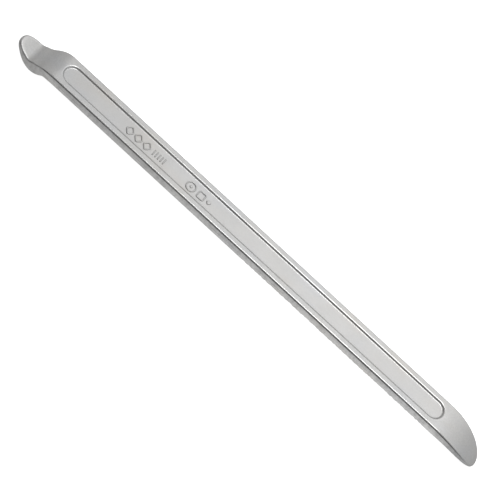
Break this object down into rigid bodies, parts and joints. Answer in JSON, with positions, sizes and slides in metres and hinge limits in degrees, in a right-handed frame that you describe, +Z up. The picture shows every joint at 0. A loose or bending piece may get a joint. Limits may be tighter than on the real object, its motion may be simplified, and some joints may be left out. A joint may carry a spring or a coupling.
{
  "type": "tyre lever",
  "caption": "Long flat forged lever with a recessed shank, an upturned spoon lip at one end and a down-curved rounded point at the other.",
  "frame": {"origin": "on the ground plane under the middle of the overall length, midway between the two long sides", "axes": "+X along the bar towards the down-curved end, with the spoon end at -X; +Y across the bar; +Z up out of the upper recessed face"},
  "size_m": [0.38, 0.0226, 0.0164],
  "materials": {
    "satin_chrome": "satin chrome plating over a lightly blasted drop forging, softly mirror-like on the rolled edges"
  },
  "bodies": {
    "root": {"forged_lever": "satin_chrome"}
  },
  "joints": []
}
